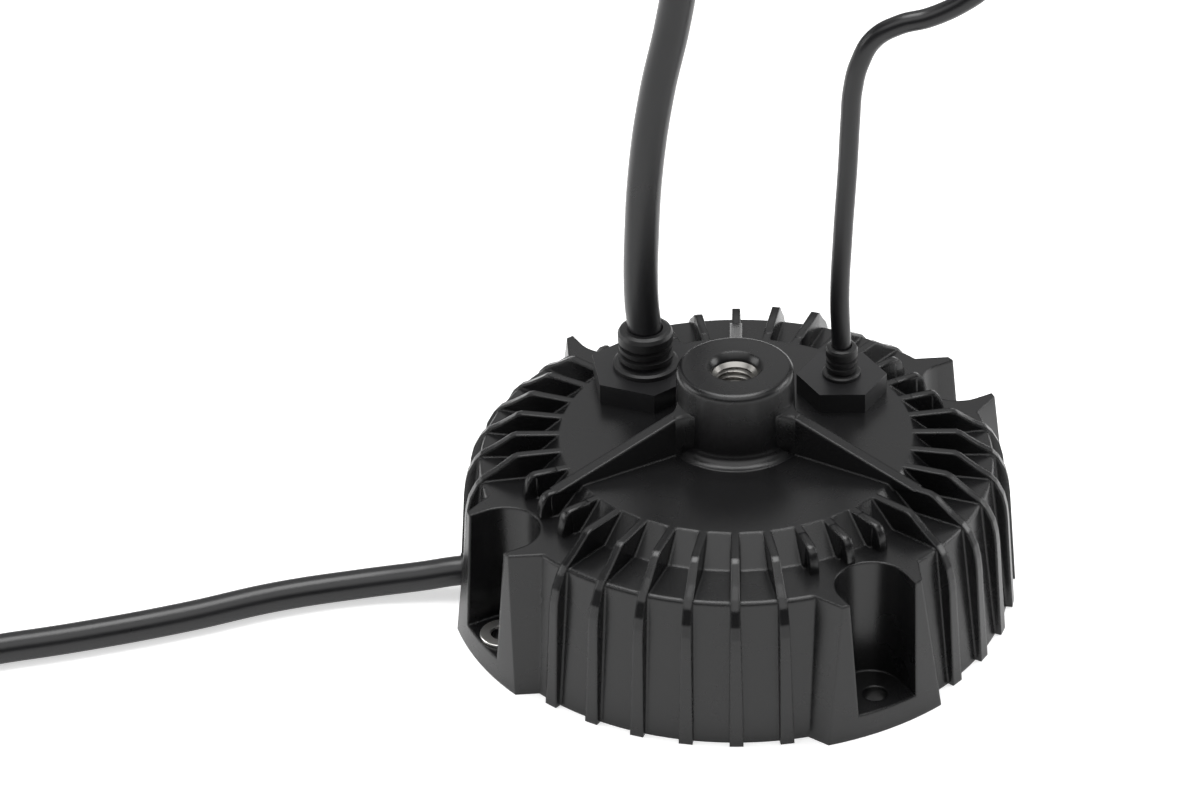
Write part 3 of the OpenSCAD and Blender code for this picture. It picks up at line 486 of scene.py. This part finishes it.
def long_fin(name, flat_r, angle):
    """A fin that stays level out to a radius and then falls to the shoulder."""
    reach, drop = SHOULDER_R - flat_r, FIN_CREST - SHOULDER_H
    fall = [(flat_r + reach * out, SHOULDER_H + drop * rise) for out, rise in FALL_SHARES]
    outer = [(r, min(FIN_OUTER_LOW, z - FIN_LEAST_H), z) for r, z in fall]
    return fin(name, [(FIN_START_R, FIN_ROOT_H, FIN_CREST)] + outer, angle)


def short_fin(name, angle):
    """A fin beside a pocket, whose outer end is a quarter round."""
    drop = FIN_CREST - ROUND_FOOT_H
    turns = [math.radians(turn) for turn in ROUND_ANGLES]
    quarter = [(ROUND_R + ROUND_REACH * math.sin(a), ROUND_FOOT_H + drop * math.cos(a)) for a in turns]
    flat = [(FIN_START_R, FIN_ROOT_H, FIN_CREST), (ROUND_R, FIN_ROOT_H, FIN_CREST)]
    return fin(name, flat + [(r, FIN_ROOT_H, z) for r, z in quarter], angle)


# %% [markdown]
# ## One piece of each kind
# The long fins, the short fins and the flares of the arms are each made once per place. They could stay
# nineteen pieces. Joined by kind they are three, which are easier to find and to dress.

# %% Join the cast pieces
LONG_FINS = {70: 56.6, 80: 56.6, 90: 55, 100: 53}
POCKET_ANGLES, BESIDE, ARM_ANGLES = (30, 120, 210, 300), (-10, 0, 10), (90, 210, 330)
long_fins = [long_fin(f"long_fin_{angle}", flat_r, angle) for angle, flat_r in LONG_FINS.items()]
short_angles = [pocket + step for pocket in POCKET_ANGLES for step in BESIDE]
short_fins = [short_fin(f"short_fin_{angle}", angle) for angle in short_angles]
arm_roots = [arm_root(angle) for angle in ARM_ANGLES]
cast_pieces = [boss_skin]
for name, group in (("long_fins", long_fins), ("short_fin_ends", short_fins), ("arm_roots", arm_roots)):
    for piece in group:
        piece.select_set(True)
    bpy.context.view_layer.objects.active = group[0]
    bpy.ops.object.join()
    bpy.ops.object.select_all(action="DESELECT")
    group[0].name = name
    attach(group[0], "root")
    cast_pieces.append(group[0])
    print(name, len(group[0].data.polygons), "faces")

# %% [markdown]
# ## Shader maths
# A finish is a small graph of nodes. It could be linked socket by socket. Written as Python expressions it
# reads like arithmetic: a `Signal` wraps a socket, and each operator on it adds one Math node.


# %% Signals and finishes
class Signal:
    """A socket of a shader graph, on which Python's operators add Math nodes."""

    def __init__(self, finish, socket):
        self.finish, self.socket = finish, socket

    def maths(self, operation, first, second):
        """A Math node on two signals or numbers."""
        return self.finish.node("ShaderNodeMath", {"operation": operation}, [first, second])

    def __add__(self, other):
        return self.maths("ADD", self, other)

    def __radd__(self, other):
        return self.maths("ADD", other, self)

    def __sub__(self, other):
        return self.maths("SUBTRACT", self, other)

    def __rsub__(self, other):
        return self.maths("SUBTRACT", other, self)

    def __mul__(self, other):
        return self.maths("MULTIPLY", self, other)

    def __rmul__(self, other):
        return self.maths("MULTIPLY", other, self)


class Finish:
    """A material whose nodes are added by expressions."""

    def __init__(self, name):
        self.material = bpy.data.materials.new(name)
        self.material.use_nodes = True
        self.tree = self.material.node_tree
        self.shader = self.tree.nodes["Principled BSDF"]

    def node(self, kind, settings, inputs, output=0):
        """A node of a kind, with its settings and the values or signals of its sockets."""
        made = self.tree.nodes.new(kind)
        for name, value in settings.items():
            setattr(made, name, value)
        for key, value in inputs.items() if isinstance(inputs, dict) else enumerate(inputs):
            if isinstance(value, Signal):
                self.tree.links.new(value.socket, made.inputs[key])
            else:
                made.inputs[key].default_value = value
        return Signal(self, made.outputs[output])

    def set(self, **sockets):
        """Sets the shader's own sockets, each to a value or a signal."""
        for name, value in sockets.items():
            socket = self.shader.inputs[name.replace("_", " ")]
            if isinstance(value, Signal):
                self.tree.links.new(value.socket, socket)
            else:
                socket.default_value = value

    def place(self):
        """The place on the object, in metres."""
        return self.node("ShaderNodeTexCoord", {}, [], "Object")

    def noise(self, scale, detail=3):
        """Noise from 0 to 1 with grains of about 1 / scale metres."""
        sockets = {"Vector": self.place(), "Scale": scale, "Detail": detail}
        return self.node("ShaderNodeTexNoise", {}, sockets, "Fac")

    def blend(self, amount, low, high):
        """A colour between two, by a signal from 0 to 1."""
        return self.node("ShaderNodeMix", {"data_type": "RGBA"}, {0: amount, 6: (*low, 1), 7: (*high, 1)}, 2)

    def ramp(self, value, start, end):
        """A smooth step from 0 at one value of a signal to 1 at another."""
        steps = {"Value": value, "From Min": start, "From Max": end}
        return self.node("ShaderNodeMapRange", {"interpolation_type": "SMOOTHSTEP"}, steps)

    def bump(self, height, depth, normal=None):
        """Normals that follow a signal's height, on top of other normals if they are given."""
        inputs = {"Height": height, "Distance": depth, "Strength": 1.0}
        if normal:
            inputs["Normal"] = normal
        return self.node("ShaderNodeBump", {}, inputs)

    def soft_edges(self, radius):
        """Normals that turn over a sharp edge as a rounded one's do."""
        return self.node("ShaderNodeBevel", {"samples": 6}, {"Radius": radius})


# %% [markdown]
# ## The casting's finish
# The housing is powder coated: satin black, with a grain of a few tenths of a millimetre. One dark grey with
# one roughness would look like plastic, so both vary in patches. Cast edges are never sharp, and a Bevel
# node turns the normals over them and lets them catch the light.

# %% Coated casting
COAT_DARK, COAT_PALE = (0.004, 0.004, 0.0043), (0.0075, 0.0075, 0.008)
COAT_ROUGHNESS, COAT_ROUGHNESS_SPREAD = 0.22, 0.1
GRIT_SCALE, GRIT_DEPTH, PATCH_SCALE, PATCH_DETAIL = 2600, 0.000015, 60, 4
CAST_EDGE_R = mm(0.9)
casting = Finish("coated_casting")
grit = casting.noise(GRIT_SCALE)
patches = casting.noise(PATCH_SCALE, PATCH_DETAIL)
casting.set(
    Base_Color=casting.blend(patches, COAT_DARK, COAT_PALE),
    Roughness=COAT_ROUGHNESS + COAT_ROUGHNESS_SPREAD * patches,
    Normal=casting.bump(grit, GRIT_DEPTH, casting.soft_edges(CAST_EDGE_R)),
)
print("casting's nodes:", len(casting.tree.nodes))

# %% [markdown]
# ## The other finishes
# Each remaining finish is a base colour that varies a little, a roughness that varies with it and a fine
# grain. Each could have a graph of its own. One function makes them all, because they differ only in these
# numbers.

# %% Plain finishes
SHADE_TO_GRAIN, PALER, DARKER, ROUGHNESS_SPREAD = 12, 1.15, 0.82, 0.12


def grained(name, colour, roughness, metal=0.0, grain=1500, depth=0.00001):
    """A finish from a colour, a roughness, how metallic it is and the scale and depth of its grain."""
    finish = Finish(name)
    shade = finish.noise(grain / SHADE_TO_GRAIN)
    paler = tuple(c * PALER for c in colour)
    darker = tuple(c * DARKER for c in colour)
    finish.set(
        Base_Color=finish.blend(shade, darker, paler),
        Roughness=roughness - ROUGHNESS_SPREAD / 2 + ROUGHNESS_SPREAD * shade,
        Metallic=metal,
        Normal=finish.bump(finish.noise(grain), depth),
    )
    return finish


finishes = {
    "black_casting": casting,
    "steel": grained("machined_steel", (0.38, 0.37, 0.35), 0.34, 1.0),
    "plate_metal": grained("plain_aluminium", (0.60, 0.61, 0.62), 0.4, 1.0),
    "black_rubber": grained("moulded_rubber", (0.008, 0.008, 0.0085), 0.42),
    "black_nylon": grained("moulded_nylon", (0.010, 0.010, 0.011), 0.38),
    "board_green": grained("solder_mask", (0.05, 0.2, 0.1), 0.35),
    "sheet_cream": grained("insulating_film", (0.75, 0.7, 0.55), 0.4),
    "ferrite": grained("ferrite", (0.08, 0.08, 0.085), 0.55),
    "tape_yellow": grained("coil_tape", (0.75, 0.55, 0.08), 0.3),
    "copper_wire": grained("enamelled_wire", (0.55, 0.2, 0.07), 0.3, 0.6),
    "core_green": grained("core_coating", (0.06, 0.16, 0.08), 0.45),
    "sleeve_blue": grained("blue_sleeve", (0.03, 0.05, 0.16), 0.3),
    "sleeve_black": grained("black_sleeve", (0.02, 0.02, 0.022), 0.3),
    "case_yellow": grained("yellow_case", (0.7, 0.45, 0.05), 0.35),
    "dip_blue": grained("blue_dip", (0.05, 0.15, 0.4), 0.3),
    "ceramic_white": grained("white_ceramic", (0.8, 0.8, 0.78), 0.25),
    "epoxy_black": grained("black_epoxy", (0.02, 0.02, 0.02), 0.5),
    "wire_brown": grained("brown_core", (0.2, 0.09, 0.04), 0.4),
    "wire_violet": grained("violet_core", (0.25, 0.1, 0.35), 0.4),
    "wire_red": grained("red_core", (0.5, 0.03, 0.03), 0.4),
    "black_jacket": grained("lead_jacket", (0.008, 0.008, 0.009), 0.3, grain=900),
    "tinned_copper": grained("tinned_strands", (0.7, 0.7, 0.68), 0.3, 1.0),
}
print("finishes:", len(finishes))

# %% [markdown]
# ## Dressing the pieces
# A CAD node takes the finish of the material slot that its record names, so that no node is forgotten. The
# new pieces take theirs by hand, and the washer has a brighter one than the insert's steel.

# %% Dress the pieces
def dress(piece, finish):
    """Puts one finish on a piece, in place of what it has."""
    piece.data.materials.clear()
    piece.data.materials.append(finish.material)


for part in frame["record"]["subparts"]:
    dress(nodes[part["node"]], finishes[part["material_slot"]])
for piece in cast_pieces:
    dress(piece, casting)
for cable in (mains_cable, dimming_cable, output_cable):
    dress(cable, finishes["black_jacket"])
dress(insert_body, finishes["steel"])
dress(washer, grained("bright_zinc", (0.85, 0.84, 0.81), 0.3, 1.0))

# %% [markdown]
# ## The cores' colours
# Cores are told apart by their colours, one each. Only the protective earth core, the third of the mains
# lead, has two: it is green with a yellow stripe along it. The stripe could be a second mesh. It is a step
# in the finish instead, by height, because that core lies level on the ground.

# %% Dress the cores
CORE_ROUGHNESS = 0.4
CORE_PAINTS = {
    "mains": [(0.2, 0.09, 0.04), (0.03, 0.09, 0.35)],
    "dimming": [(0.25, 0.1, 0.35), (0.3, 0.3, 0.31)],
    "output": [(0.5, 0.03, 0.03), (0.02, 0.02, 0.022)],
}
for lead, (sleeves, tips) in core_ends.items():
    for sleeve, paint in zip(sleeves, CORE_PAINTS[lead]):
        dress(sleeve, grained(f"{sleeve.name}_sleeve", paint, CORE_ROUGHNESS))
    for tip in tips:
        dress(tip, finishes["tinned_copper"])

EARTH_GREEN, EARTH_YELLOW, STRIPE_FROM, STRIPE_TO = (0.03, 0.25, 0.05), (0.7, 0.55, 0.03), mm(1.35), mm(1.6)
EARTH_ROUGHNESS, EARTH_ROUGHNESS_SPREAD = 0.36, 0.08
EARTH_SHADE_SCALE, EARTH_GRAIN_SCALE, EARTH_GRAIN_DEPTH = 120, 1500, 0.00001
earth = Finish("earth_sleeve")
level = earth.node("ShaderNodeSeparateXYZ", {}, [earth.place()], "Z")
earth.set(
    Base_Color=earth.blend(earth.ramp(level, STRIPE_FROM, STRIPE_TO), EARTH_GREEN, EARTH_YELLOW),
    Roughness=EARTH_ROUGHNESS + EARTH_ROUGHNESS_SPREAD * earth.noise(EARTH_SHADE_SCALE),
    Normal=earth.bump(earth.noise(EARTH_GRAIN_SCALE), EARTH_GRAIN_DEPTH),
)
mains_sleeves, _ = core_ends["mains"]
dress(mains_sleeves[2], earth)

# %% [markdown]
# ## The floor
# The photograph has a white ground. More light would whiten it, and the black coating with it. The ground
# glows a little instead, as a light table does: mirrored in the coating it is white, and a soft shadow still
# lies round the object.

# %% Floor
FLOOR_SIZE, PAPER, WHITE = 6, (0.8, 0.8, 0.8, 1), (1, 1, 1, 1)
PAPER_GLOW, SEEN_GLOW, MIRRORED_GLOW = 0.2, 0.35, 0.2
bpy.ops.mesh.primitive_plane_add(size=FLOOR_SIZE, location=(0, 0, 0))
floor = bpy.context.active_object
floor.name = "floor"
paper = Finish("white_paper")
seen = paper.node("ShaderNodeLightPath", {}, [], "Is Camera Ray")
mirrored = paper.node("ShaderNodeLightPath", {}, [], "Is Glossy Ray")
paper.set(
    Base_Color=PAPER,
    Roughness=1.0,
    Specular_IOR_Level=0.0,
    Emission_Color=WHITE,
    Emission_Strength=PAPER_GLOW + SEEN_GLOW * seen + MIRRORED_GLOW * mirrored,
)
floor.data.materials.append(paper.material)

# %% [markdown]
# ## The room
# A black coating shows what it mirrors, so the room decides where it looks black and where it shines. The
# world could be one grey. Here it glows low round the horizon, high on the camera's side and softly behind
# the object, and is dim elsewhere. Seen directly it is white, as the photograph's background is.

# %% World
ROOM_DIM, HORIZON_GLOW, FRONT_GLOW, BEHIND_GLOW, FILL = 0.02, 0.2, 1.7, 0.62, 0.5
HORIZON_Z = (0.25, 0.05)
FRONT_Z, FRONT_Y = (0.45, 0.7), (0.0, -0.4)
BEHIND_Z, BEHIND_Y = (0.15, 0.4), (0.2, 0.5)
world = bpy.data.worlds.new("studio")
bpy.context.scene.world = world
world.use_nodes = True


class Sky(Finish):
    """The world's graph, written with the same expressions."""

    def __init__(self, of_world):
        self.tree = of_world.node_tree
        self.shader = self.tree.nodes["Background"]


sky = Sky(world)
direct = sky.node("ShaderNodeLightPath", {}, [], "Is Camera Ray")
glossy = sky.node("ShaderNodeLightPath", {}, [], "Is Glossy Ray")
heading = sky.node("ShaderNodeTexCoord", {}, [], "Generated")
heading_z = sky.node("ShaderNodeSeparateXYZ", {}, [heading], "Z")
heading_y = sky.node("ShaderNodeSeparateXYZ", {}, [heading], "Y")
horizon = sky.ramp(heading_z, *HORIZON_Z)
top_front = sky.ramp(heading_z, *FRONT_Z) * sky.ramp(heading_y, *FRONT_Y)
behind = sky.ramp(heading_z, *BEHIND_Z) * sky.ramp(heading_y, *BEHIND_Y)
room = ROOM_DIM + HORIZON_GLOW * horizon + FRONT_GLOW * top_front + BEHIND_GLOW * behind
sky.set(Color=WHITE, Strength=direct + glossy * room + (1.0 - direct - glossy) * FILL)

# %% [markdown]
# ## The lamps
# The photograph has broad soft light from above. Small lamps would draw hard spots on the coating. A large
# softbox hangs over the object, and two weaker ones stand at its sides and draw its edges.

# %% Lamps
LAMP_AIM = (0, 0, 0.03)
LAMPS = {
    "top_softbox": ((0, 0.25, 1.45), (1.0, 0.8), 16),
    "left_softbox": ((-1.2, 0.1, 0.5), (0.8, 0.5), 4),
    "right_softbox": ((1.2, 0.3, 0.5), (0.8, 0.5), 6),
}
for name, (where, size, power) in LAMPS.items():
    lamp_data = bpy.data.lights.new(name, "AREA")
    lamp_data.shape = "RECTANGLE"
    lamp_data.size, lamp_data.size_y = size
    lamp_data.energy = power
    lamp = bpy.data.objects.new(name, lamp_data)
    bpy.context.scene.collection.objects.link(lamp)
    lamp.location = where
    lamp.rotation_euler = (Vector(LAMP_AIM) - Vector(where)).to_track_quat("-Z", "Y").to_euler()
    print(name, power, "W")

bpy.context.scene.view_settings.view_transform = "Standard"
